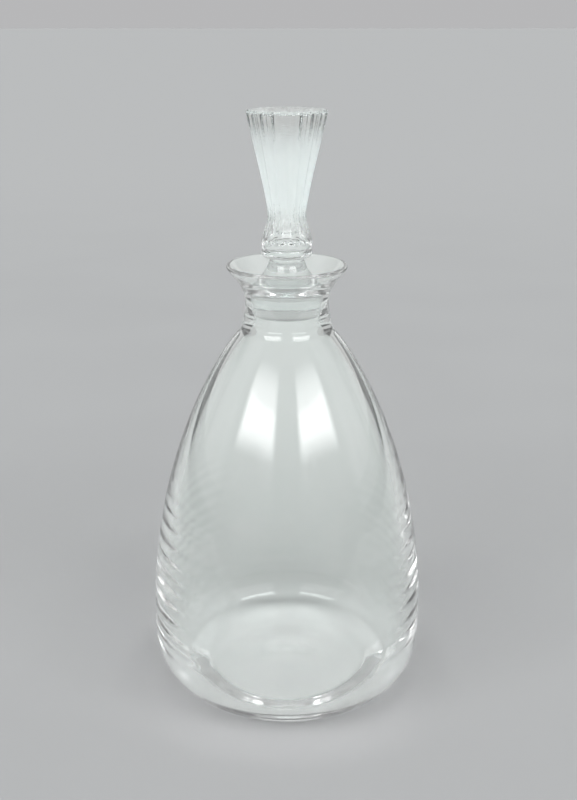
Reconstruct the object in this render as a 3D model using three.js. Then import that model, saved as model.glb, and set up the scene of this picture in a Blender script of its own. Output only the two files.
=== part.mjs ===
// A stoppered decanter: a blown bell-shaped bottle with a ground neck and a flared lip,
// and a pressed solid stopper with a fluted trumpet finial. Millimetres, +Z up, with the
// origin at the middle of the foot, on the table.

import * as THREE from 'three';
import { mergeVertices } from 'three/addons/utils/BufferGeometryUtils.js';

// Bottle, outside

const FOOT_RADIUS = 33;
const FOOT_RING_WIDTH = 4;
const FOOT_ROUND = 13.17;
const PUNT_DEPTH = 1.4;
const BELLY_RADIUS = 62.6;
const BELLY_HEIGHT = 44;
const BODY_HEIGHT = 178.3;
const NECK_RADIUS = 18.4;
const NECK_ROOT_SPREAD = 1.8;
const NECK_LENGTH = 18.2;
const LIP_HEIGHT = 10.3;
const LIP_OVERHANG = 8;
const LIP_ANGLE = THREE.MathUtils.degToRad(36);
const RIM_THICKNESS = 2;

// Handles of the curves that give the bell its shape

const HEEL_DROP = 23;
const HEEL_REACH = 26;
const HEEL_ANGLE = THREE.MathUtils.degToRad(32);
const BELLY_RISE = 49.2;
const SHOULDER_REACH = 39.7;
const SHOULDER_ANGLE = THREE.MathUtils.degToRad(50.7);
const NECK_EASE = 4.5;
const LIP_EASE = 5.5;

// Bottle, inside

const FLOOR_THICKNESS = 16.5;
const FLOOR_INSET = 7.9;
const FLOOR_EDGE_ANGLE = THREE.MathUtils.degToRad(35);
const FLOOR_EDGE_REACH = 5;
const FLOOR_EDGE_RISE = 14;
const BELLY_WALL = 6.5;
const SHOULDER_WALL = 3.5;
const NECK_WALL = 2.4;
const THROAT_ROUND = 3;
const SEAT_TAPER = THREE.MathUtils.degToRad(4);

// Stopper

const SEAT_CLEARANCE = 0.3;
const PLUG_LENGTH = 11.5;
const PLUG_BEVEL = 0.5;
const HEAD_RISE = 12.6;
const HEAD_EASE = 4;
const HEAD_ANGLE = THREE.MathUtils.degToRad(45);
const STEM_RADIUS = 7.7;
const STEM_LENGTH = 1.2;
const COLLAR_RADIUS = 11.05;
const COLLAR_HEIGHT = 4;
const COLLAR_BULGE = 1;
const GROOVE_HEIGHT = 0.6;
const SKIRT_RADIUS = 11;
const SKIRT_BAND = 1.6;
const SKIRT_HEIGHT = 13.1;
const SKIRT_EASE = 2.8;
const WAIST_RADIUS = 8.2;
const WAIST_EASE = 4;
const FINIAL_HEIGHT = 44;
const FINIAL_RADIUS = 17.2;
const FINIAL_SPREAD = 7;
const FINIAL_EASE = 10.2;
const FINIAL_LEAN = THREE.MathUtils.degToRad(11.3);
const TOP_BEVEL = 0.8;

// Flutes of the finial and its skirt

const FLUTE_COUNT = 16;
const FLUTE_DEPTH = 1.1;
const FLUTE_RUNOUT = 1.4;

// Facets round the pieces, and steps along the curves of their profiles

const BOTTLE_FACETS = 64;
const FACETS_PER_FLUTE = 4;
const PUNT_STEPS = 5;
const FOOT_STEPS = 3;
const HEEL_STEPS = 7;
const WALL_STEPS = 11;
const NECK_STEPS = 4;
const LIP_STEPS = 5;
const RIM_STEPS = 5;
const THROAT_STEPS = 3;
const FLOOR_EDGE_STEPS = 6;
const HEAD_STEPS = 5;
const COLLAR_STEPS = 6;
const FINIAL_STEPS = 8;

// Heights and radii that the pieces share

const lipRadius = NECK_RADIUS + LIP_OVERHANG;
const seatTop = BODY_HEIGHT + NECK_LENGTH;
const seatRadius = NECK_RADIUS - NECK_WALL;
const lipTop = seatTop + LIP_HEIGHT;
const taperSlope = Math.tan(SEAT_TAPER);

// Share of the way to a corner at which the handles of its rounding end
const ROUND_HANDLE = 0.6;

function point(radius, height) {
	return new THREE.Vector2(radius, height);
}

// The end of a curve handle of the given length, leaving a point at an angle above the level
function handle(from, length, angle) {
	return point(from.x + length * Math.cos(angle), from.y + length * Math.sin(angle));
}

// Points of a cubic curve after its first one, which the stretch before it has placed
function curve(start, startHandle, endHandle, end, steps) {
	return new THREE.CubicBezierCurve(start, startHandle, endHandle, end).getPoints(steps).slice(1);
}

// Points of an arc after its first one
function arc(centre, radiusAcross, radiusUp, startAngle, endAngle, steps) {
	const ellipse = new THREE.EllipseCurve(
		centre.x, centre.y, radiusAcross, radiusUp, startAngle, endAngle, endAngle < startAngle,
	);
	return ellipse.getPoints(steps).slice(1);
}

// A body of revolution about the vertical axis, from a profile that starts and ends on it
function revolve(profile, facets) {
	const geometry = new THREE.LatheGeometry(profile, facets);
	geometry.deleteAttribute('normal');
	geometry.deleteAttribute('uv');
	geometry.rotateX(Math.PI / 2);
	return mergeVertices(geometry);
}

// Bottle: up the outside from the foot, over the rim, and down the inside to the floor

function bottleProfile() {
	const hollow = point(0, PUNT_DEPTH);
	const footInside = point(FOOT_RADIUS - FOOT_RING_WIDTH, 0);
	const footCentre = point(FOOT_RADIUS, FOOT_ROUND);
	const heelSlope = HEEL_ANGLE - Math.PI / 2;
	const heel = handle(footCentre, FOOT_ROUND, heelSlope);
	const belly = point(BELLY_RADIUS, BELLY_HEIGHT);
	const crease = point(NECK_RADIUS + NECK_ROOT_SPREAD, BODY_HEIGHT);
	const shoulderHandle = handle(crease, SHOULDER_REACH, -SHOULDER_ANGLE);
	const neck = point(NECK_RADIUS, seatTop - LIP_EASE);

	const rimCentre = point(lipRadius - RIM_THICKNESS / 2, lipTop - RIM_THICKNESS / 2);
	const rimOutside = handle(rimCentre, RIM_THICKNESS / 2, -LIP_ANGLE);
	const rimInside = handle(rimCentre, RIM_THICKNESS / 2, Math.PI - LIP_ANGLE);
	const lipSlope = Math.PI / 2 - LIP_ANGLE;

	const wallNormal = point(Math.sin(SHOULDER_ANGLE), Math.cos(SHOULDER_ANGLE));
	const innerCrease = crease.clone().addScaledVector(wallNormal, -SHOULDER_WALL);
	const throatRun =
		(innerCrease.x - seatRadius + taperSlope * (seatTop - innerCrease.y)) /
		(Math.cos(SHOULDER_ANGLE) + taperSlope * Math.sin(SHOULDER_ANGLE));
	const throat = handle(innerCrease, throatRun, Math.PI - SHOULDER_ANGLE);
	const seatEnd = handle(throat, THROAT_ROUND, Math.PI / 2 - SEAT_TAPER);
	const shoulderStart = handle(throat, THROAT_ROUND, -SHOULDER_ANGLE);
	const innerShoulderHandle = shoulderHandle.clone().addScaledVector(wallNormal, -SHOULDER_WALL);

	const seatEdge = point(seatRadius, seatTop);
	const innerBelly = point(BELLY_RADIUS - BELLY_WALL, BELLY_HEIGHT);
	const floorEdge = point(innerBelly.x - FLOOR_INSET, FLOOR_THICKNESS);

	return [
		hollow,
		...curve(
			hollow, point(footInside.x / 2, PUNT_DEPTH), point(footInside.x / 2, 0), footInside, PUNT_STEPS,
		),
		point(FOOT_RADIUS, 0),
		...arc(footCentre, FOOT_ROUND, FOOT_ROUND, -Math.PI / 2, heelSlope, FOOT_STEPS),
		...curve(
			heel, handle(heel, HEEL_REACH, HEEL_ANGLE),
			point(BELLY_RADIUS, BELLY_HEIGHT - HEEL_DROP), belly, HEEL_STEPS,
		),
		...curve(
			belly, point(BELLY_RADIUS, BELLY_HEIGHT + BELLY_RISE), shoulderHandle, crease, WALL_STEPS,
		),
		...curve(
			crease, point(crease.x - NECK_ROOT_SPREAD / 2, crease.y + NECK_EASE),
			point(NECK_RADIUS, neck.y - NECK_EASE), neck, NECK_STEPS,
		),
		...curve(
			neck, point(NECK_RADIUS, neck.y + LIP_EASE),
			handle(rimOutside, LIP_EASE, lipSlope + Math.PI), rimOutside, LIP_STEPS,
		),
		...arc(
			rimCentre, RIM_THICKNESS / 2, RIM_THICKNESS / 2, -LIP_ANGLE, Math.PI - LIP_ANGLE, RIM_STEPS,
		),
		...curve(
			rimInside, handle(rimInside, LIP_EASE, lipSlope + Math.PI),
			handle(seatEdge, LIP_EASE / 2, lipSlope), seatEdge, LIP_STEPS,
		),
		seatEnd,
		...curve(
			seatEnd, seatEnd.clone().lerp(throat, ROUND_HANDLE),
			shoulderStart.clone().lerp(throat, ROUND_HANDLE), shoulderStart, THROAT_STEPS,
		),
		...curve(
			shoulderStart, innerShoulderHandle,
			point(innerBelly.x, innerBelly.y + BELLY_RISE), innerBelly, WALL_STEPS,
		),
		...curve(
			innerBelly, point(innerBelly.x, innerBelly.y - FLOOR_EDGE_RISE),
			handle(floorEdge, FLOOR_EDGE_REACH, FLOOR_EDGE_ANGLE), floorEdge, FLOOR_EDGE_STEPS,
		),
		point(0, FLOOR_THICKNESS),
	];
}

// Stopper: up from the ground plug, through the collar and the waist, to the top of the finial

const collarBottom = seatTop + HEAD_RISE + STEM_LENGTH;
const collarTop = collarBottom + COLLAR_HEIGHT;
const skirtBottom = collarTop + GROOVE_HEIGHT;
const waistHeight = skirtBottom + SKIRT_HEIGHT;
const stopperTop = waistHeight + FINIAL_HEIGHT;

// Radius of the ground plug at a height, the seat's cone less the clearance square to it
function plugRadius(height) {
	return seatRadius - taperSlope * (seatTop - height) - SEAT_CLEARANCE / Math.cos(SEAT_TAPER);
}

function stopperProfile() {
	const plugEnd = seatTop - PLUG_LENGTH;
	const plugTop = point(plugRadius(seatTop), seatTop);
	const stemFoot = point(STEM_RADIUS, seatTop + HEAD_RISE);
	const collarCentre = point(COLLAR_RADIUS - COLLAR_BULGE, collarBottom + COLLAR_HEIGHT / 2);
	const skirt = point(SKIRT_RADIUS, skirtBottom);
	const bandTop = point(SKIRT_RADIUS, skirtBottom + SKIRT_BAND);
	const waist = point(WAIST_RADIUS, waistHeight);
	const topEdge = point(FINIAL_RADIUS, stopperTop - TOP_BEVEL);

	return [
		point(0, plugEnd - PLUG_BEVEL),
		point(plugRadius(plugEnd) - PLUG_BEVEL, plugEnd - PLUG_BEVEL),
		point(plugRadius(plugEnd), plugEnd),
		plugTop,
		...curve(
			plugTop, handle(plugTop, HEAD_EASE, Math.PI - HEAD_ANGLE),
			point(STEM_RADIUS, stemFoot.y - HEAD_EASE), stemFoot, HEAD_STEPS,
		),
		point(STEM_RADIUS, collarBottom),
		point(collarCentre.x, collarBottom),
		...arc(
			collarCentre, COLLAR_BULGE, COLLAR_HEIGHT / 2, -Math.PI / 2, Math.PI / 2, COLLAR_STEPS,
		),
		point(collarCentre.x, skirtBottom),
		skirt,
		bandTop,
		...curve(
			bandTop, point(SKIRT_RADIUS, bandTop.y + SKIRT_EASE),
			point(WAIST_RADIUS, waistHeight - WAIST_EASE), waist, FINIAL_STEPS,
		),
		...curve(
			waist, point(WAIST_RADIUS, waistHeight + FINIAL_SPREAD),
			handle(topEdge, FINIAL_EASE, -Math.PI / 2 - FINIAL_LEAN), topEdge, FINIAL_STEPS,
		),
		point(FINIAL_RADIUS - TOP_BEVEL, stopperTop),
		point(0, stopperTop),
	];
}

// How deep the flutes lie at a height, as a share of the radius there
function fluteShare(height) {
	const runout = THREE.MathUtils.smoothstep(
		height, skirtBottom + SKIRT_BAND, skirtBottom + SKIRT_BAND + FLUTE_RUNOUT,
	);
	return runout * FLUTE_DEPTH / FINIAL_RADIUS;
}

// Draws the round surface in between the arrises, so that each flute is a hollow
function cutFlutes(geometry) {
	const position = geometry.attributes.position;
	for (let i = 0; i < position.count; i++) {
		const angle = Math.atan2(position.getY(i), position.getX(i));
		const hollow = Math.abs(Math.sin(angle * FLUTE_COUNT / 2));
		const scale = 1 - hollow * fluteShare(position.getZ(i));
		position.setXY(i, position.getX(i) * scale, position.getY(i) * scale);
	}
	return geometry;
}

// The two pieces

const clearGlass = new THREE.MeshStandardMaterial({
	color: 0xdce5e2,
	roughness: 0.04,
	metalness: 0,
	transparent: true,
	opacity: 0.4,
});

const satinGlass = new THREE.MeshStandardMaterial({
	color: 0xe4eded,
	roughness: 0.4,
	metalness: 0,
	transparent: true,
	opacity: 0.75,
});

function piece(name, geometry, material) {
	const mesh = new THREE.Mesh(geometry, material);
	mesh.name = name;
	return mesh;
}

const decanter = new THREE.Group();
decanter.add(
	piece('bottle', revolve(bottleProfile(), BOTTLE_FACETS), clearGlass),
	piece(
		'stopper',
		cutFlutes(revolve(stopperProfile(), FLUTE_COUNT * FACETS_PER_FLUTE)),
		satinGlass,
	),
);

export default decanter;
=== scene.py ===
"""A stoppered glass decanter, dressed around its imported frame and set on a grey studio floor."""

import math

import bpy
import numpy as np
from bpy.props import FloatProperty, FloatVectorProperty, IntProperty, PointerProperty
from bpy.types import Operator, Panel, PropertyGroup
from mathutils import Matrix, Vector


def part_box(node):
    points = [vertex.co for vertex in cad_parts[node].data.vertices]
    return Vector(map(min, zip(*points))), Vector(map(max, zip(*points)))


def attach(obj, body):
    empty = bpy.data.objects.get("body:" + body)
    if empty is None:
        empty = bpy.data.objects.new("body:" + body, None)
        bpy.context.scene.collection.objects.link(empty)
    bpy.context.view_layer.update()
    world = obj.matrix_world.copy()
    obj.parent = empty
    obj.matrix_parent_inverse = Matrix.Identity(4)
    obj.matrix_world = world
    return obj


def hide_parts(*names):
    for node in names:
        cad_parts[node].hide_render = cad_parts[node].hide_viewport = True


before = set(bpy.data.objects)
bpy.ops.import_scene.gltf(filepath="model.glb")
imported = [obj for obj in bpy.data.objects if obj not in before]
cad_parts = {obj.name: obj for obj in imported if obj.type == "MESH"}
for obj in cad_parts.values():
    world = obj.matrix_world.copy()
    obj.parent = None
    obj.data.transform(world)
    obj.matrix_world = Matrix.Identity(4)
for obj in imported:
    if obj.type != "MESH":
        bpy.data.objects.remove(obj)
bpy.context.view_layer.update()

bl_info = {
    "name": "Stoppered decanter",
    "version": (1, 0, 0),
    "blender": (4, 5, 0),
    "location": "3D View > Sidebar > Decanter",
    "description": "Builds a blown glass decanter, its fluted stopper and a studio stage",
    "category": "Add Mesh",
}

BOTTLE_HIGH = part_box("bottle")[1]
STOPPER_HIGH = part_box("stopper")[1]

PHOTO_HEIGHT = 800
SENSOR_WIDTH = 36.0
UP = math.pi / 2

# Where a rounding has its handles, as a share of the way to its corner
ROUND = 0.6

# Edges that are sharper than this are shaded sharp
BOTTLE_CREASE = math.radians(24)
STOPPER_CREASE = math.radians(22)

# Ripples: the heights over which they begin and end, the sine of the angle where each side begins,
# and how far they sway round the bottle and drift up it, in turns
RIPPLE_RISE = 0.02
RIPPLE_FALL = 0.04
RIPPLE_SIDE = 0.5
RIPPLE_SWAY = 0.15
RIPPLE_SWAY_START = 0.8
RIPPLE_DRIFT = 0.1
RIPPLE_DRIFT_RATE = 190

# Places of the colour sockets among the inputs and outputs of a Mix node
MIX_FIRST = 6
MIX_SECOND = 7
MIX_RESULT = 2

# Range of the noise that goes from clear to cloudy, and its detail
CLOUD_RANGE = (0.25, 0.75)
CLOUD_DETAIL = 1.0

# Heights between which the waves of the blown glass calm down
BASE_FLOW_RANGE = (0.004, 0.03)

# Floor: half of its width, how far it lies under the foot, and where its colours change, among them
# the painted light and painted shadow round the base
FLOOR_REACH = 30.0
FLOOR_DROP = 0.0002
FAR_RANGE = (0.4, 2.0)
FRONT_RANGE = (-0.045, -0.01)
SHADE_RANGE = (0.075, 0.1)
THROUGH_RANGE = (0.1, 0.4)
PAPER_SIDE_FADE = 0.1
PAPER_FRONT_FADE = 0.04

# Counts of a ray: crossings that part one wall from the bottle and the bottle from deeper glass,
# how softly they part, and what parts none of a kind from some
ONE_WALL = 2.5
WHOLE_BOTTLE = 4.5
BETWEEN_COUNTS = 0.3
NONE_OR_SOME = 0.5

# Room: softness of its edges, where the side walls begin and end, and the least divisor
HEIGHT_SOFT = 0.03
BEARING_SOFT = 0.15
WALL_RANGE = (0.4, 0.2)
LEAST = 0.001

# Bounces of a ray, of all kinds and in glass
MOST_BOUNCES = 96
GLASS_BOUNCES = 64


# Kinds of setting

def length(name, description, default):
    return FloatProperty(
        name=name, description=description, default=default, min=0.0, unit="LENGTH", precision=5,
    )


def angle(name, description, degrees):
    return FloatProperty(
        name=name, description=description, default=math.radians(degrees), subtype="ANGLE",
    )


def number(name, description, default):
    return FloatProperty(name=name, description=description, default=default, precision=3)


def count(name, description, default):
    return IntProperty(name=name, description=description, default=default, min=1)


def colour(name, description, default):
    return FloatVectorProperty(
        name=name, description=description, default=default, subtype="COLOR", size=3,
        min=0, soft_max=1,
    )


class BottleShape(PropertyGroup):
    """Sizes of the blown bottle"""

    foot_radius: length("Foot radius", "Outer radius of the ring that it stands on", 0.033)
    foot_ring_width: length("Foot ring width", "Width of the flat ring", 0.004)
    foot_round: length("Foot round", "Radius of the rounding from the ring to the heel", 0.01317)
    punt_depth: length("Punt depth", "Depth of the hollow inside the foot ring", 0.0014)
    belly_radius: length("Belly radius", "Largest outer radius", BOTTLE_HIGH.x)
    belly_height: length("Belly height", "Height of the largest radius", 0.044)
    body_height: length("Body height", "Height of the crease under the neck", 0.1783)
    neck_radius: length("Neck radius", "Least outer radius of the neck", 0.0184)
    neck_root_spread: length("Neck root spread", "How much wider the neck is at its crease", 0.0018)
    neck_root_round: length("Neck root round", "Length of the rounding at the neck's root", 0.002)
    neck_length: length("Neck length", "From the crease to the top of the ground seat", 0.0182)
    lip_height: length("Lip height", "From the top of the seat to the rim", 0.0103)
    lip_overhang: length("Lip overhang", "How far the rim stands out past the neck", 0.008)
    lip_angle: angle("Lip angle", "Lean of the lip away from the upright", 36)
    rim_thickness: length("Rim thickness", "Diameter of the rounded rim", 0.002)

    heel_drop: length("Heel drop", "Handle of the heel's curve under the belly", 0.023)
    heel_reach: length("Heel reach", "Handle of the heel's curve at the foot", 0.026)
    heel_angle: angle("Heel angle", "Rise of the heel where it leaves the foot", 32)
    belly_rise: length("Belly rise", "Handle of the wall's curve above the belly", 0.0492)
    shoulder_reach: length("Shoulder reach", "Handle of the wall's curve at the neck", 0.0397)
    shoulder_angle: angle("Shoulder angle", "Slope of the shoulder at the neck", 50.7)
    neck_ease: length("Neck ease", "Handles of the neck's curve", 0.0045)
    lip_ease: length("Lip ease", "Handles of the lip's curve", 0.0055)

    floor_thickness: length("Floor thickness", "Glass under the cavity", 0.0165)
    floor_inset: length("Floor inset", "From the inner wall to the edge of the floor", 0.0079)
    floor_edge_angle: angle("Floor edge angle", "Rise of the inner wall at the floor", 35)
    floor_edge_reach: length("Floor edge reach", "Handle of the inner heel at the floor", 0.005)
    floor_edge_rise: length("Floor edge rise", "Handle of the inner heel at the wall", 0.014)
    belly_wall: length("Belly wall", "Thickness of the wall at the belly", 0.0065)
    shoulder_wall: length("Shoulder wall", "Thickness of the wall at the shoulder", 0.0035)
    neck_wall: length("Neck wall", "Thickness of the wall at the top of the seat", 0.0024)
    throat_round: length("Throat round", "Length of the rounding under the ground seat", 0.003)
    seat_taper: angle("Seat taper", "Lean of the ground seat away from the upright", 4)

    ripple_height: length("Ripple height", "Depth of the ripples left by blowing", 0.00016)
    ripple_balance: number(
        "Ripple balance", "Ripples of the right side as a share of the left", 0.4,
    )
    ripple_pitch: length("Ripple pitch", "Height between two ripples", 0.0068)
    ripple_low: length("Ripple start", "Height where the ripples begin", 0.020)
    ripple_high: length("Ripple end", "Height where the ripples have died away", 0.114)
    facets: count("Facets", "Facets round the bottle", 192)


class StopperShape(PropertyGroup):
    """Sizes of the pressed stopper"""

    seat_clearance: length("Seat clearance", "Gap between the plug and its seat", 0.0003)
    plug_length: length("Plug length", "Ground length of the plug", 0.0115)
    plug_bevel: length("Plug bevel", "Bevel at the foot of the plug", 0.0005)
    head_rise: length("Head rise", "From the seat to the foot of the stem", 0.0126)
    head_ease: length("Head ease", "Handles of the head's curve", 0.004)
    stem_radius: length("Stem radius", "Radius of the short stem", 0.0077)
    stem_length: length("Stem length", "Height of the short stem", 0.0012)
    collar_radius: length("Collar radius", "Radius of the rounded collar", 0.01105)
    collar_height: length("Collar height", "Height of the rounded collar", 0.004)
    collar_bulge: length("Collar bulge", "How far the collar swells", 0.001)
    groove_height: length("Groove height", "Height of the groove over the collar", 0.0006)
    skirt_radius: length("Skirt radius", "Radius of the skirt's plain band", 0.011)
    skirt_band: length("Skirt band", "Height of the skirt's plain band", 0.0016)
    skirt_height: length("Skirt height", "From the groove to the waist", 0.0131)
    skirt_ease: length("Skirt ease", "Handle of the skirt's curve at its band", 0.0028)
    waist_radius: length("Waist radius", "Least radius of the finial", 0.0082)
    waist_ease: length("Waist ease", "Handle of the skirt's curve at the waist", 0.004)
    finial_height: length("Finial height", "From the waist to the top", 0.044)
    finial_radius: length("Finial radius", "Radius of the finial's top", STOPPER_HIGH.x)
    finial_spread: length("Finial spread", "Handle of the finial's curve at the waist", 0.007)
    finial_ease: length("Finial ease", "Handle of the finial's curve at its top", 0.0102)
    finial_lean: angle("Finial lean", "Lean of the finial's side at its top", 11.3)
    top_bevel: length("Top bevel", "Bevel round the finial's top", 0.0008)
    flute_count: count("Flutes", "Flutes round the finial", 16)
    flute_depth: length("Flute depth", "Depth of a flute at the top", 0.0011)
    flute_runout: length("Flute run-out", "Length in which a flute fades into the skirt", 0.0014)
    facets_per_flute: count("Facets per flute", "Facets across a flute", 12)


class GlassFinish(PropertyGroup):
    """Finish of the glass"""

    tint: colour("Tint", "Colour of the bottle's glass", (0.985, 0.996, 0.992))
    tint_deep: colour(
        "Deep tint", "Colour of the bottle's glass where it is cloudier", (0.973, 0.991, 0.985),
    )
    flow_scale: number("Flow scale", "Waves of the blown glass in a metre", 70)
    flow_depth: length("Flow depth", "Depth of the waves of the blown glass", 0.00002)
    base_flow: number("Base flow", "How much deeper the waves are under the base", 5.0)
    ior: number("Refraction", "Refractive index", 1.51)
    polish: number("Polish", "Roughness of the clear glass", 0.0)
    satin: number("Satin", "Roughness of the satin band", 0.6)
    satin_tint: colour("Stopper tint", "Colour of the stopper's glass", (0.98, 0.998, 0.995))
    satin_deep: colour(
        "Deep stopper tint", "Colour of the stopper's glass where it is cloudier",
        (0.967, 0.991, 0.988),
    )
    press_scale: number("Press scale", "Waves of the pressed glass in a metre", 160)
    press_depth: length("Press depth", "Depth of the waves of the pressed glass", 0.000008)
    grain: length("Grain", "Size of the satin's grain", 0.0001)
    frost_ior: number("Frost strength", "Refractive index of the frosted skin", 4.0)
    frost_rough: number("Frost roughness", "Roughness of the frosted skin", 0.6)
    satin_low: length("Satin start", "Height where the satin begins", 0.2285)
    satin_high: length("Satin end", "Height where the satin ends", 0.2635)
    satin_ease: length("Satin ease", "Height over which the satin begins", 0.015)
    satin_fade: length("Satin fade", "Height over which the satin ends", 0.012)


class StageLook(PropertyGroup):
    """Floor, light and camera"""

    floor_colour: colour("Floor colour", "Colour of the floor", (0.379, 0.374, 0.38))
    floor_far: colour("Far floor colour", "Colour of the floor far behind", (0.406, 0.4, 0.406))
    # Painted light: a bright pool painted on the floor under the base, seen only through glass, in
    # place of the light that the glass brings there
    painted_light_under_base: colour(
        "Floor under the base", "Colour of the lit floor under the base", (0.735, 0.735, 0.735),
    )
    painted_light_shift: length(
        "Light shift", "How far the lit floor under the base lies behind the axis", 0.008,
    )
    painted_light_inner: length(
        "Light inner edge", "Where the lit floor under the base begins to fade", 0.040,
    )
    painted_light_outer: length(
        "Light outer edge", "Where the lit floor under the base has faded out", 0.056,
    )
    # Painted light: a lighter ring painted on the floor round the base, seen only through glass
    painted_light_near_base: colour(
        "Floor near the base", "Colour of the lit floor round the base", (0.56, 0.563, 0.56),
    )
    # Painted shadow: the bottle's shadow painted on the floor round its base and at its front, seen
    # only through glass
    painted_shadow_near_base: colour(
        "Floor shade", "Colour of the floor behind glass, near the base", (0.445, 0.447, 0.443),
    )
    # Painted light: the floor seen far off through glass is painted lighter than the same floor
    # seen directly
    floor_through_painted_light: colour(
        "Floor through glass", "Colour of the floor behind glass, far off", (0.58, 0.582, 0.576),
    )
    paper_cloud: number("Paper cloud", "Share by which the paper's tone wanders", 0.03)
    paper_scale: number("Paper scale", "Clouds of the paper in a metre", 6.0)
    paper_light: colour("Paper light", "Brightness of the paper behind", (0.57, 0.575, 0.57))
    backdrop_colour: colour("Backdrop colour", "Colour beyond the floor", (0.475, 0.475, 0.482))
    room_light: number("Room light", "Brightness of the dark room round the stage", 0.1)
    deep_light: number(
        "Deep light", "Brightness of the room through more than one wall of glass", 0.4,
    )
    side_light: number("Side light", "Brightness of the walls left and right", 0.45)
    fill_light: number("Fill light", "Brightness of the room as it lights matt surfaces", 0.5)
    satin_light: colour("Satin light", "Light of the room on satin glass", (1.42, 1.62, 1.6))
    ceiling_light: number("Ceiling light", "Brightness of the ceiling", 0.8)
    ceiling_angle: angle("Ceiling angle", "Height where the ceiling begins", 75)
    paper_reach: number("Paper reach", "Where the paper behind ends, across by depth", 2.5)
    paper_top: angle("Paper top", "Height up to which the paper hangs behind", 17.5)
    paper_side: length("Paper side", "Half of the paper's width", 0.5)
    paper_front: length("Paper front", "From the axis to the front edge of the paper", 0.2)
    beyond_light: number("Floor past the paper", "Tone of the floor past the paper's edges", 0.36)
    beyond_thin: number("Floor past the paper, thin", "The same through one wall of glass", 0.1)
    softbox_light: number("Softbox light", "Light of a softbox above the room's", 6.3)
    softbox_through: number(
        "Softbox through glass", "Light of a softbox through one wall of glass", 4.5,
    )
    softbox_thin: number("Softbox dimmed", "Light of a softbox where the glass dims it", 0.8)
    softbox_split: angle("Softbox split", "Height above which one wall of glass dims a softbox", 31)
    softbox_far: angle("Softbox far", "Height below which the whole bottle dims a softbox", 34)
    softbox_back: number(
        "Softbox at the back wall", "Light of a softbox above that height, through the bottle", 8.0,
    )
    softbox_deep: number(
        "Softbox deep in glass", "Light of a softbox through many walls of glass", 1.2,
    )
    softbox_straight: number(
        "Softbox seen through", "Light of a softbox seen straight through the bottle", 0.5,
    )
    softbox_azimuth: angle("Softbox azimuth", "Bearing that each softbox faces", 30)
    softbox_inner: number(
        "Softbox inner edge", "Towards the camera, as a share of its distance", 0.25,
    )
    softbox_outer: number(
        "Softbox outer edge", "Away from the camera, as a share of its distance", 0.6,
    )
    softbox_bottom: number("Softbox bottom", "Height as a share of its distance", 0.39)
    softbox_top: number("Softbox top", "Height as a share of its distance", 0.96)
    softbox_fade: number("Softbox fade", "Softness of its top as a share of its distance", 0.3)
    softbox_edge: number("Softbox edge", "Softness of its edges as a share of its distance", 0.07)
    camera_distance: length(
        "Camera distance", "From the axis to the camera, along the floor", 0.49284,
    )
    camera_height: length("Camera height", "Height of the camera above the floor", 0.3092)
    camera_side: length("Camera side", "How far the camera stands to the right", 0.0007)
    camera_pitch: angle("Camera pitch", "How far the camera looks down", 18.5)
    camera_focus: number("Focal length", "Focal length in pixels of the photograph", 1150)


# Profiles, as points of radius and height

def point(radius, height):
    return np.array((radius, height), float)


def handle(start, reach, slope):
    return start + reach * np.array((math.cos(slope), math.sin(slope)))


def curve(start, start_handle, end_handle, end, steps):
    """Points of a cubic curve after its first one"""
    t = np.linspace(0, 1, steps + 1)[1:, None]
    return list(
        (1 - t) ** 3 * start + 3 * (1 - t) ** 2 * t * start_handle
        + 3 * (1 - t) * t ** 2 * end_handle + t ** 3 * end
    )


def arc(centre, across, up, start, end, steps):
    """Points of an arc after its first one"""
    t = np.linspace(start, end, steps + 1)[1:]
    return list(centre + np.column_stack((across * np.cos(t), up * np.sin(t))))


def line(start, end, steps):
    """Points of a straight stretch after its first one"""
    t = np.linspace(0, 1, steps + 1)[1:, None]
    return list(start + t * (end - start))


def seat(shape):
    """Height and radius of the top of the ground seat, and the slope of its taper"""
    top = shape.body_height + shape.neck_length
    return top, shape.neck_radius - shape.neck_wall, math.tan(shape.seat_taper)


def bottle_outside(shape):
    """From the middle of the punt, up the outside, to the rim"""
    seat_top, _, _ = seat(shape)
    foot_centre = point(shape.foot_radius, shape.foot_round)
    heel = handle(foot_centre, shape.foot_round, shape.heel_angle - UP)
    belly = point(shape.belly_radius, shape.belly_height)
    crease = point(shape.neck_radius + shape.neck_root_spread, shape.body_height)
    root_handle = point(crease[0] - shape.neck_root_spread / 2, crease[1] + shape.neck_ease)
    root_low = handle(crease, shape.neck_root_round, -shape.shoulder_angle)
    root_high = crease + (root_handle - crease) * shape.neck_root_round / shape.neck_ease
    neck = point(shape.neck_radius, seat_top - shape.lip_ease)
    rim = rim_centre(shape)
    rim_outside = handle(rim, shape.rim_thickness / 2, -shape.lip_angle)
    lip_slope = UP - shape.lip_angle
    punt_edge = shape.foot_radius - shape.foot_ring_width
    return [
        point(0, shape.punt_depth),
        *curve(
            point(0, shape.punt_depth), point(punt_edge / 2, shape.punt_depth),
            point(punt_edge / 2, 0), point(punt_edge, 0), steps=24,
        ),
        point(shape.foot_radius, 0),
        *arc(foot_centre, shape.foot_round, shape.foot_round, -UP, shape.heel_angle - UP, steps=8),
        *curve(
            heel, handle(heel, shape.heel_reach, shape.heel_angle),
            point(shape.belly_radius, shape.belly_height - shape.heel_drop), belly, steps=28,
        ),
        *curve(
            belly, point(shape.belly_radius, shape.belly_height + shape.belly_rise),
            handle(crease, shape.shoulder_reach, -shape.shoulder_angle), root_low, steps=64,
        ),
        *curve(
            root_low, root_low + ROUND * (crease - root_low),
            root_high + ROUND * (crease - root_high), root_high, steps=10,
        ),
        *curve(
            root_high, root_handle,
            point(shape.neck_radius, neck[1] - shape.neck_ease), neck, steps=14,
        ),
        *curve(
            neck, point(shape.neck_radius, neck[1] + shape.lip_ease),
            handle(rim_outside, shape.lip_ease, lip_slope + math.pi), rim_outside, steps=18,
        ),
    ]


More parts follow.
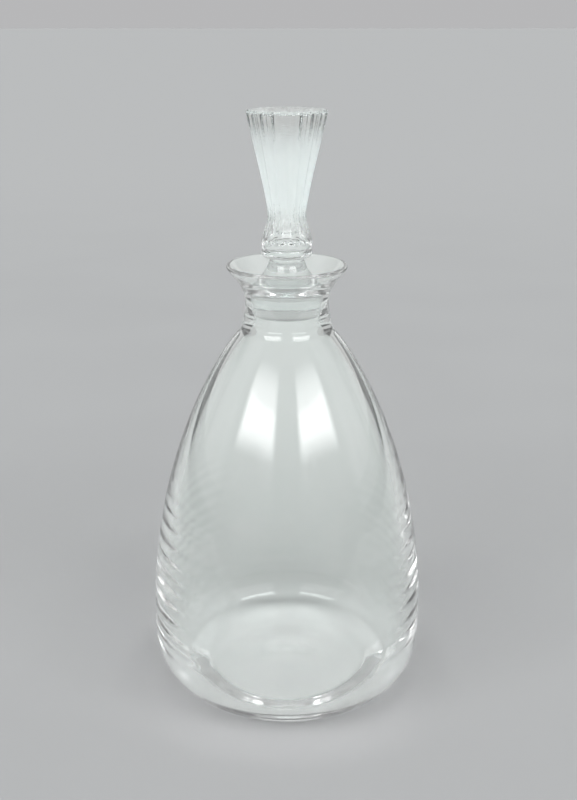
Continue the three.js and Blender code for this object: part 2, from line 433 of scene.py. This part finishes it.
def rim_centre(shape):
    """Middle of the rounded rim"""
    half = shape.rim_thickness / 2
    seat_top, _, _ = seat(shape)
    return point(
        shape.neck_radius + shape.lip_overhang - half, seat_top + shape.lip_height - half,
    )


def bottle_inside(shape):
    """Over the rim, down the seat and the inside wall, to the middle of the floor"""
    seat_top, seat_radius, taper = seat(shape)
    rim = rim_centre(shape)
    half = shape.rim_thickness / 2
    rim_inside = handle(rim, half, math.pi - shape.lip_angle)
    seat_edge = point(seat_radius, seat_top)
    crease = point(shape.neck_radius + shape.neck_root_spread, shape.body_height)
    normal = np.array((math.sin(shape.shoulder_angle), math.cos(shape.shoulder_angle)))
    inner_crease = crease - shape.shoulder_wall * normal
    run = (inner_crease[0] - seat_radius + taper * (seat_top - inner_crease[1])) / (
        math.cos(shape.shoulder_angle) + taper * math.sin(shape.shoulder_angle)
    )
    throat = handle(inner_crease, run, math.pi - shape.shoulder_angle)
    seat_end = handle(throat, shape.throat_round, UP - shape.seat_taper)
    shoulder_start = handle(throat, shape.throat_round, -shape.shoulder_angle)
    shoulder_handle = (
        handle(crease, shape.shoulder_reach, -shape.shoulder_angle) - shape.shoulder_wall * normal
    )
    belly = point(shape.belly_radius - shape.belly_wall, shape.belly_height)
    floor_edge = point(belly[0] - shape.floor_inset, shape.floor_thickness)
    return [
        *arc(rim, half, half, -shape.lip_angle, math.pi - shape.lip_angle, steps=12),
        *curve(
            rim_inside, handle(rim_inside, shape.lip_ease, UP * 3 - shape.lip_angle),
            handle(seat_edge, shape.lip_ease / 2, UP - shape.lip_angle), seat_edge, steps=16,
        ),
        *line(seat_edge, seat_end, steps=10),
        *curve(
            seat_end, seat_end + ROUND * (throat - seat_end),
            shoulder_start + ROUND * (throat - shoulder_start), shoulder_start, steps=8,
        ),
        *curve(
            shoulder_start, shoulder_handle,
            point(belly[0], belly[1] + shape.belly_rise), belly, steps=140,
        ),
        *curve(
            belly, point(belly[0], belly[1] - shape.floor_edge_rise),
            handle(floor_edge, shape.floor_edge_reach, shape.floor_edge_angle), floor_edge,
            steps=34,
        ),
        *line(floor_edge, point(0, shape.floor_thickness), steps=10),
    ]


def stopper_profile(shape, bottle):
    """From the middle of the plug's foot, up the outside, to the middle of the finial's top"""
    seat_top, seat_radius, taper = seat(bottle)

    def plug_radius(height):
        gap = shape.seat_clearance / math.cos(bottle.seat_taper)
        return seat_radius - taper * (seat_top - height) - gap

    plug_end = seat_top - shape.plug_length
    plug_foot = plug_end - shape.plug_bevel
    bevel_radius = plug_radius(plug_end) - shape.plug_bevel
    plug_top = point(plug_radius(seat_top), seat_top)
    stem_foot = point(shape.stem_radius, seat_top + shape.head_rise)
    collar_bottom = stem_foot[1] + shape.stem_length
    collar = point(
        shape.collar_radius - shape.collar_bulge, collar_bottom + shape.collar_height / 2,
    )
    skirt_bottom = skirt_height(shape, bottle)
    band_top = point(shape.skirt_radius, skirt_bottom + shape.skirt_band)
    waist = point(shape.waist_radius, skirt_bottom + shape.skirt_height)
    top = waist[1] + shape.finial_height
    top_edge = point(shape.finial_radius, top - shape.top_bevel)
    return [
        point(0, plug_foot),
        *line(point(0, plug_foot), point(bevel_radius, plug_foot), steps=6),
        *line(point(bevel_radius, plug_foot), point(plug_radius(plug_end), plug_end), steps=3),
        *line(point(plug_radius(plug_end), plug_end), plug_top, steps=8),
        *curve(
            plug_top, handle(plug_top, shape.head_ease, UP * 1.5),
            point(shape.stem_radius, stem_foot[1] - shape.head_ease), stem_foot, steps=18,
        ),
        point(shape.stem_radius, collar_bottom),
        point(collar[0], collar_bottom),
        *arc(collar, shape.collar_bulge, shape.collar_height / 2, -UP, UP, steps=16),
        point(collar[0], skirt_bottom),
        point(shape.skirt_radius, skirt_bottom),
        band_top,
        *curve(
            band_top, point(shape.skirt_radius, band_top[1] + shape.skirt_ease),
            point(shape.waist_radius, waist[1] - shape.waist_ease), waist, steps=30,
        ),
        *curve(
            waist, point(shape.waist_radius, waist[1] + shape.finial_spread),
            handle(top_edge, shape.finial_ease, -UP - shape.finial_lean), top_edge, steps=48,
        ),
        *line(top_edge, point(shape.finial_radius - shape.top_bevel, top), steps=3),
        *line(point(shape.finial_radius - shape.top_bevel, top), point(0, top), steps=8),
    ]


def skirt_height(shape, bottle):
    """Height of the lower edge of the finial's skirt"""
    seat_top, _, _ = seat(bottle)
    return (
        seat_top + shape.head_rise + shape.stem_length + shape.collar_height + shape.groove_height
    )


# Meshes

def smoothstep(low, high, value):
    t = np.clip((value - low) / (high - low), 0, 1)
    return t * t * (3 - 2 * t)


def revolve(name, profile, facets, shift, crease_angle):
    """A closed body of revolution, whose profile starts and ends on the axis

    shift gives the change of radius at each ring and angle, as an array of rings by facets.
    """
    profile = np.array(profile)
    rings = profile[1:-1]
    angles = np.linspace(0, 2 * math.pi, facets, endpoint=False)
    radius = rings[:, :1] + shift(rings, angles)
    height = np.repeat(rings[:, 1:], facets, axis=1)
    ring_points = np.stack((radius * np.sin(angles), -radius * np.cos(angles), height), axis=2)
    vertices = [
        (0, 0, profile[0][1]), *map(tuple, ring_points.reshape(-1, 3)), (0, 0, profile[-1][1]),
    ]
    last = len(vertices) - 1
    top = last - facets
    faces = []
    for j in range(facets):
        k = (j + 1) % facets
        faces.append((0, 1 + k, 1 + j))
        faces.append((last, top + j, top + k))
        for i in range(len(rings) - 1):
            row = 1 + i * facets
            faces.append((row + j, row + k, row + facets + k, row + facets + j))
    mesh = bpy.data.meshes.new(name)
    mesh.from_pydata(vertices, [], faces)
    mesh.shade_smooth()
    mesh.set_sharp_from_angle(angle=crease_angle)
    mesh.validate()
    piece = bpy.data.objects.new(name, mesh)
    bpy.context.scene.collection.objects.link(piece)
    return piece


def dress(piece, material, body, node):
    """Gives a piece its material and its body, and hides the imported node that it stands for"""
    piece.data.materials.append(material)
    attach(piece, body)
    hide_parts(node)


# Materials

def connect(tree, value, socket):
    """Links a socket, or sets plain numbers on it"""
    if isinstance(value, bpy.types.NodeSocket):
        tree.links.new(value, socket)
    elif isinstance(value, tuple):
        socket.default_value = (*value, 1)
    else:
        socket.default_value = value


def math_node(tree, operation, *values):
    """A Math node, whose inputs are sockets to link or plain numbers"""
    node = tree.nodes.new("ShaderNodeMath")
    node.operation = operation
    for socket, value in zip(node.inputs, values):
        connect(tree, value, socket)
    return node.outputs[0]


def ramp(tree, value, low, high, start=0.0, end=1.0):
    """A smooth step of a socket's value from start at low to end at high"""
    node = tree.nodes.new("ShaderNodeMapRange")
    node.interpolation_type = "SMOOTHSTEP"
    for socket, given in zip(node.inputs, (value, low, high, start, end)):
        connect(tree, given, socket)
    return node.outputs["Result"]


def step_at(tree, value, edge, soft, start=0.0, end=1.0):
    """A smooth step at an edge, which goes the other way where soft is below zero"""
    return ramp(tree, value, edge - soft, edge + soft, start, end)


def pick(tree, switch, off, on):
    """One of two values, by a switch of zero or one"""
    return ramp(tree, switch, 0.0, 1.0, off, on)


def mix_colours(tree, factor, first, second):
    """A mix of two colours, each a socket to link or plain numbers"""
    node = tree.nodes.new("ShaderNodeMix")
    node.data_type = "RGBA"
    connect(tree, factor, node.inputs["Factor"])
    connect(tree, first, node.inputs[MIX_FIRST])
    connect(tree, second, node.inputs[MIX_SECOND])
    return node.outputs[MIX_RESULT]


def grey(level):
    return (level,) * 3


def place_node(tree, kind):
    """The place on an object, or the direction in the world, and its three parts"""
    place = tree.nodes.new("ShaderNodeTexCoord").outputs[kind]
    split = tree.nodes.new("ShaderNodeSeparateXYZ")
    tree.links.new(place, split.inputs[0])
    return place, split.outputs


def mottle_group():
    """A node group that clouds a colour, and that gives gentle waves to go with it"""
    group = bpy.data.node_groups.get("mottle")
    if group:
        return group
    group = bpy.data.node_groups.new("mottle", "ShaderNodeTree")
    for name, kind, way in (
        ("Place", "NodeSocketVector", "INPUT"), ("Scale", "NodeSocketFloat", "INPUT"),
        ("Clear", "NodeSocketColor", "INPUT"), ("Cloudy", "NodeSocketColor", "INPUT"),
        ("Colour", "NodeSocketColor", "OUTPUT"), ("Waves", "NodeSocketFloat", "OUTPUT"),
    ):
        group.interface.new_socket(name=name, in_out=way, socket_type=kind)
    start = group.nodes.new("NodeGroupInput").outputs
    end = group.nodes.new("NodeGroupOutput").inputs
    noise = group.nodes.new("ShaderNodeTexNoise")
    group.links.new(start["Place"], noise.inputs["Vector"])
    group.links.new(start["Scale"], noise.inputs["Scale"])
    noise.inputs["Detail"].default_value = CLOUD_DETAIL
    cloud = ramp(group, noise.outputs[0], *CLOUD_RANGE)
    group.links.new(mix_colours(group, cloud, start["Clear"], start["Cloudy"]), end["Colour"])
    group.links.new(noise.outputs[0], end["Waves"])
    return group


def mottle(tree, place, scale, clear, cloudy):
    """Places the mottle group, and gives its colour and its waves"""
    node = tree.nodes.new("ShaderNodeGroup")
    node.node_tree = mottle_group()
    for name, value in (("Place", place), ("Scale", scale), ("Clear", clear), ("Cloudy", cloudy)):
        connect(tree, value, node.inputs[name])
    return node.outputs["Colour"], node.outputs["Waves"]


def new_material(name):
    material = bpy.data.materials.new(name)
    material.use_nodes = True
    return material, material.node_tree, material.node_tree.nodes["Principled BSDF"]


def glass_shader(tree, shader, finish, tint, waves, depth):
    """Clear glass with a clouded colour and a wavy surface"""
    shader.inputs["IOR"].default_value = finish.ior
    shader.inputs["Transmission Weight"].default_value = 1.0
    shader.inputs["Metallic"].default_value = 0.0
    shader.inputs["Roughness"].default_value = finish.polish
    tree.links.new(tint, shader.inputs["Base Color"])
    bump = tree.nodes.new("ShaderNodeBump")
    bump.inputs["Distance"].default_value = depth
    tree.links.new(waves, bump.inputs["Height"])
    tree.links.new(bump.outputs["Normal"], shader.inputs["Normal"])


def clear_glass(finish):
    """Blown glass, whose waves are deeper under the base"""
    material, tree, shader = new_material("clear_glass")
    place, parts = place_node(tree, "Object")
    tint, waves = mottle(
        tree, place, finish.flow_scale, tuple(finish.tint), tuple(finish.tint_deep),
    )
    flow = ramp(tree, parts["Z"], *BASE_FLOW_RANGE, finish.base_flow, 1.0)
    waves = math_node(tree, "MULTIPLY", waves, flow)
    glass_shader(tree, shader, finish, tint, waves, finish.flow_depth)
    return material


def satin_glass(finish):
    """Pressed glass with a band of satin, which thins out grain by grain at both ends"""
    material, tree, shader = new_material("satin_glass")
    place, parts = place_node(tree, "Object")
    tint, waves = mottle(
        tree, place, finish.press_scale, tuple(finish.satin_tint), tuple(finish.satin_deep),
    )
    glass_shader(tree, shader, finish, tint, waves, finish.press_depth)
    band = math_node(
        tree, "MULTIPLY", step_at(tree, parts["Z"], finish.satin_low, finish.satin_ease / 2),
        step_at(tree, parts["Z"], finish.satin_high, -finish.satin_fade / 2),
    )
    snap = tree.nodes.new("ShaderNodeVectorMath")
    snap.operation = "SNAP"
    snap.inputs[1].default_value = (finish.grain,) * 3
    tree.links.new(place, snap.inputs[0])
    grain = tree.nodes.new("ShaderNodeTexWhiteNoise")
    tree.links.new(snap.outputs[0], grain.inputs["Vector"])
    frosted = math_node(tree, "LESS_THAN", grain.outputs["Value"], band)
    roughness = pick(tree, frosted, finish.polish, finish.satin)
    tree.links.new(roughness, shader.inputs["Roughness"])
    tree.links.new(frosted, shader.inputs["Coat Weight"])
    shader.inputs["Coat IOR"].default_value = finish.frost_ior
    shader.inputs["Coat Roughness"].default_value = finish.frost_rough
    return material


# Stage

def make_floor(look):
    """A wide sheet of paper, just under the foot"""
    corners = [(-1, -1), (1, -1), (1, 1), (-1, 1)]
    mesh = bpy.data.meshes.new("floor")
    mesh.from_pydata(
        [(x * FLOOR_REACH, y * FLOOR_REACH, 0) for x, y in corners], [], [(0, 1, 2, 3)],
    )
    mesh.materials.append(floor_paper(look))
    floor = bpy.data.objects.new("floor", mesh)
    bpy.context.scene.collection.objects.link(floor)
    floor.location.z = -FLOOR_DROP


def floor_paper(look):
    """Matt paper, lighter behind glass by painted light, with a painted shadow round the base, and
    darker past its edges where glass mirrors it
    """
    material, tree, shader = new_material("floor_paper")
    path = tree.nodes.new("ShaderNodeLightPath").outputs
    place, parts = place_node(tree, "Object")
    # Seen through glass, the paper takes painted light and painted shadow instead of its own colour
    paper = mix_colours(
        tree, path["Is Transmission Ray"], paper_seen(tree, look, place, parts),
        paper_painted_through_glass(tree, look, place, parts),
    )
    side = math_node(tree, "ABSOLUTE", parts["X"])
    beyond = math_node(
        tree, "MAXIMUM", ramp(tree, side, look.paper_side, look.paper_side + PAPER_SIDE_FADE),
        ramp(tree, parts["Y"], -look.paper_front, -look.paper_front - PAPER_FRONT_FADE),
    )
    mirrored = math_node(tree, "GREATER_THAN", path["Glossy Depth"], NONE_OR_SOME)
    walls = step_at(tree, path["Transmission Depth"], ONE_WALL, BETWEEN_COUNTS)
    dim = mix_colours(tree, walls, grey(look.beyond_thin), grey(look.beyond_light))
    paper = mix_colours(tree, math_node(tree, "MULTIPLY", beyond, mirrored), paper, dim)
    tree.links.new(paper, shader.inputs["Base Color"])
    shader.inputs["Roughness"].default_value = 1.0
    shader.inputs["Specular IOR Level"].default_value = 0.0
    return material


def paper_seen(tree, look, place, parts):
    """The paper as it is seen directly, clouded, and lighter far behind"""
    near = tuple(look.floor_colour)
    cloudy = tuple(tone * (1 + look.paper_cloud) for tone in near)
    clouded, _ = mottle(tree, place, look.paper_scale, near, cloudy)
    return mix_colours(tree, ramp(tree, parts["Y"], *FAR_RANGE), clouded, tuple(look.floor_far))


def paper_painted_through_glass(tree, look, place, parts):
    """The paper as it is seen through glass: a painted pool of light under the base, a ring of
    painted light round it with painted shade at its front, a painted shadow beyond, and painted
    light far off
    """
    reach_out = tree.nodes.new("ShaderNodeVectorMath")
    reach_out.operation = "DISTANCE"
    tree.links.new(place, reach_out.inputs[0])
    reach_out.inputs[1].default_value = (0, look.painted_light_shift, 0)
    away = reach_out.outputs["Value"]
    shade = tuple(look.painted_shadow_near_base)
    # Painted shade at the front of the base, painted light round the rest of it
    ring = mix_colours(tree, ramp(tree, parts["Y"], *FRONT_RANGE), shade, tuple(look.painted_light_near_base))
    edge = ramp(tree, away, look.painted_light_inner, look.painted_light_outer)
    # The painted pool of light under the base fades into that ring, then into the painted shadow
    # and the far painted light
    through = mix_colours(tree, edge, tuple(look.painted_light_under_base), ring)
    through = mix_colours(tree, ramp(tree, away, *SHADE_RANGE), through, shade)
    return mix_colours(tree, ramp(tree, away, *THROUGH_RANGE), through, tuple(look.floor_through_painted_light))


def make_room(scene, look):
    """A dark room with paper behind and two softboxes, which stand left and right of the camera

    Clear glass shows the room, satin glass has its own light and matt surfaces have the fill light.
    """
    world = bpy.data.worlds.new("room")
    scene.world = world
    world.use_nodes = True
    tree = world.node_tree
    _, parts = place_node(tree, "Generated")
    path = tree.nodes.new("ShaderNodeLightPath").outputs
    side = math_node(tree, "ABSOLUTE", parts["X"])
    first = math_node(tree, "LESS_THAN", path["Diffuse Depth"], NONE_OR_SOME)
    clear = math_node(tree, "MULTIPLY", path["Is Singular Ray"], first)
    light = mix_colours(tree, first, grey(look.fill_light), tuple(look.satin_light))
    light = mix_colours(tree, clear, light, dark_room(tree, look, side, parts, path))
    light = mix_colours(tree, paper_behind(tree, look, side, parts), light, tuple(look.paper_light))
    glow = math_node(
        tree, "MULTIPLY", softbox_place(tree, look, side, parts),
        softbox_strength(tree, look, parts["Z"], path, first),
    )
    lit = tree.nodes.new("ShaderNodeVectorMath")
    lit.operation = "ADD"
    tree.links.new(light, lit.inputs[0])
    tree.links.new(glow, lit.inputs[1])
    backdrop = tuple(look.backdrop_colour)
    seen = mix_colours(tree, path["Is Camera Ray"], lit.outputs["Vector"], backdrop)
    tree.links.new(seen, tree.nodes["Background"].inputs["Color"])


def dark_room(tree, look, side, parts, path):
    """The dark of the room, its ceiling and its walls left and right"""
    crossings = path["Transmission Depth"]
    dark = step_at(tree, crossings, ONE_WALL, BETWEEN_COUNTS, look.room_light, look.deep_light)
    ceiling = math.sin(look.ceiling_angle)
    dome = step_at(tree, parts["Z"], ceiling, HEIGHT_SOFT, dark, look.ceiling_light)
    slant = math_node(
        tree, "DIVIDE", math_node(tree, "ABSOLUTE", parts["Y"]),
        math_node(tree, "MAXIMUM", side, LEAST),
    )
    return mix_colours(tree, ramp(tree, slant, *WALL_RANGE), dome, grey(look.side_light))


def paper_behind(tree, look, side, parts):
    """Where the paper hangs behind"""
    bearing = math_node(tree, "DIVIDE", side, math_node(tree, "MAXIMUM", parts["Y"], LEAST))
    return math_node(
        tree, "MULTIPLY", step_at(tree, bearing, look.paper_reach, -BEARING_SOFT),
        step_at(tree, parts["Z"], math.sin(look.paper_top), -HEIGHT_SOFT),
    )


def softbox_place(tree, look, side, parts):
    """Where the softboxes stand, both worked out as the right one"""
    forward_x, forward_y = math.sin(look.softbox_azimuth), -math.cos(look.softbox_azimuth)
    depth = math_node(
        tree, "ADD", math_node(tree, "MULTIPLY", side, forward_x),
        math_node(tree, "MULTIPLY", parts["Y"], forward_y),
    )
    across = math_node(
        tree, "SUBTRACT", math_node(tree, "MULTIPLY", side, -forward_y),
        math_node(tree, "MULTIPLY", parts["Y"], -forward_x),
    )
    ahead = math_node(tree, "MAXIMUM", depth, LEAST)
    u = math_node(tree, "DIVIDE", across, ahead)
    v = math_node(tree, "DIVIDE", parts["Z"], ahead)
    columns = math_node(
        tree, "MULTIPLY", step_at(tree, u, -look.softbox_inner, look.softbox_edge),
        step_at(tree, u, look.softbox_outer, -look.softbox_edge),
    )
    rows = math_node(
        tree, "MULTIPLY", step_at(tree, v, look.softbox_bottom, look.softbox_edge),
        step_at(tree, v, look.softbox_top, -look.softbox_fade),
    )
    return math_node(tree, "MULTIPLY", columns, rows)


def softbox_strength(tree, look, height, path, first):
    """Light of a softbox, by its height and by how the glass shows it"""
    crossings = path["Transmission Depth"]
    one_wall = step_at(
        tree, height, math.sin(look.softbox_split), HEIGHT_SOFT,
        look.softbox_through, look.softbox_thin,
    )
    bottle = step_at(
        tree, height, math.sin(look.softbox_far), HEIGHT_SOFT,
        look.softbox_thin, look.softbox_back,
    )
    behind_glass = step_at(tree, crossings, ONE_WALL, BETWEEN_COUNTS, one_wall, bottle)
    behind_glass = step_at(
        tree, crossings, WHOLE_BOTTLE, BETWEEN_COUNTS, behind_glass, look.softbox_deep,
    )
    straight = math_node(
        tree, "MULTIPLY", step_at(tree, crossings, ONE_WALL, BETWEEN_COUNTS),
        math_node(tree, "LESS_THAN", path["Glossy Depth"], NONE_OR_SOME),
    )
    behind_glass = pick(tree, straight, behind_glass, look.softbox_straight)
    through = math_node(tree, "MULTIPLY", path["Is Transmission Ray"], first)
    return pick(tree, through, look.softbox_light, behind_glass)


def make_camera(scene, look):
    data = bpy.data.cameras.new("camera")
    data.sensor_width = SENSOR_WIDTH
    data.lens = SENSOR_WIDTH * look.camera_focus / PHOTO_HEIGHT
    camera = bpy.data.objects.new("camera", data)
    camera.location = (look.camera_side, -look.camera_distance, look.camera_height)
    camera.rotation_euler = (UP - look.camera_pitch, 0, 0)
    scene.collection.objects.link(camera)
    scene.camera = camera


# Operators

class DECANTER_OT_bottle(Operator):
    """Blow the bottle: body, neck and lip in one piece of glass"""

    bl_idname = "decanter.bottle"
    bl_label = "Bottle"

    def execute(self, context):
        shape = context.scene.decanter_bottle
        finish = context.scene.decanter_glass
        outside = bottle_outside(shape)
        inside = bottle_inside(shape)
        first_inner_ring = len(outside) - 1

        def ripples(rings, angles):
            """Ripples of the blown inside, strongest at one side, which fade out at both ends"""
            height = rings[:, 1:]
            inner = (np.arange(len(rings)) >= first_inner_ring)[:, None]
            ends = smoothstep(shape.ripple_low, shape.ripple_low + RIPPLE_RISE, height) * (
                1 - smoothstep(shape.ripple_high - RIPPLE_FALL, shape.ripple_high, height)
            )
            left = smoothstep(RIPPLE_SIDE, 1.0, -np.sin(angles))
            right = smoothstep(RIPPLE_SIDE, 1.0, np.sin(angles))
            strength = shape.ripple_height * (left + shape.ripple_balance * right)
            sway = RIPPLE_SWAY * np.sin(2 * angles + RIPPLE_SWAY_START)
            drift = RIPPLE_DRIFT * np.sin(height * RIPPLE_DRIFT_RATE)
            turns = height / shape.ripple_pitch + sway + drift
            return inner * ends * strength * np.sin(2 * math.pi * turns)

        piece = revolve("bottle_glass", outside + inside, shape.facets, ripples, BOTTLE_CREASE)
        dress(piece, clear_glass(finish), "bottle", "bottle")
        return {"FINISHED"}


class DECANTER_OT_stopper(Operator):
    """Press the stopper: ground plug, collar and fluted finial in one piece of glass"""

    bl_idname = "decanter.stopper"
    bl_label = "Stopper"

    def execute(self, context):
        shape = context.scene.decanter_stopper
        bottle = context.scene.decanter_bottle
        finish = context.scene.decanter_glass
        flutes_start = skirt_height(shape, bottle) + shape.skirt_band

        def flutes(rings, angles):
            """Hollows between sharp arrises, which run out above the skirt's band"""
            share = smoothstep(flutes_start, flutes_start + shape.flute_runout, rings[:, 1:])
            hollow = np.abs(np.sin(angles * shape.flute_count / 2))
            return -share * shape.flute_depth / shape.finial_radius * rings[:, :1] * hollow

        piece = revolve(
            "stopper_glass", stopper_profile(shape, bottle),
            shape.flute_count * shape.facets_per_flute, flutes, STOPPER_CREASE,
        )
        dress(piece, satin_glass(finish), "stopper", "stopper")
        return {"FINISHED"}


class DECANTER_OT_stage(Operator):
    """Set the floor, the light and the camera"""

    bl_idname = "decanter.stage"
    bl_label = "Stage"

    def execute(self, context):
        look = context.scene.decanter_stage
        make_floor(look)
        make_room(context.scene, look)
        make_camera(context.scene, look)
        context.scene.view_settings.view_transform = "Standard"
        context.scene.cycles.max_bounces = MOST_BOUNCES
        context.scene.cycles.transmission_bounces = GLASS_BOUNCES
        context.scene.cycles.glossy_bounces = GLASS_BOUNCES
        context.scene.cycles.blur_glossy = 0.0
        return {"FINISHED"}


class DECANTER_PT_panel(Panel):
    """Lists the pieces of the decanter and its stage"""

    bl_idname = "DECANTER_PT_panel"
    bl_label = "Decanter"
    bl_space_type = "VIEW_3D"
    bl_region_type = "UI"
    bl_category = "Decanter"

    def draw(self, context):
        for operator in (DECANTER_OT_stage, DECANTER_OT_bottle, DECANTER_OT_stopper):
            self.layout.operator(operator.bl_idname)


CLASSES = (
    BottleShape, StopperShape, GlassFinish, StageLook,
    DECANTER_OT_bottle, DECANTER_OT_stopper, DECANTER_OT_stage, DECANTER_PT_panel,
)
SETTINGS = {
    "decanter_bottle": BottleShape,
    "decanter_stopper": StopperShape,
    "decanter_glass": GlassFinish,
    "decanter_stage": StageLook,
}


def register():
    for cls in CLASSES:
        bpy.utils.register_class(cls)
    for name, group in SETTINGS.items():
        setattr(bpy.types.Scene, name, PointerProperty(type=group))


def unregister():
    for name in SETTINGS:
        delattr(bpy.types.Scene, name)
    for cls in reversed(CLASSES):
        bpy.utils.unregister_class(cls)


def main():
    register()
    bpy.ops.decanter.stage()
    bpy.ops.decanter.bottle()
    bpy.ops.decanter.stopper()


if __name__ == "__main__":
    main()
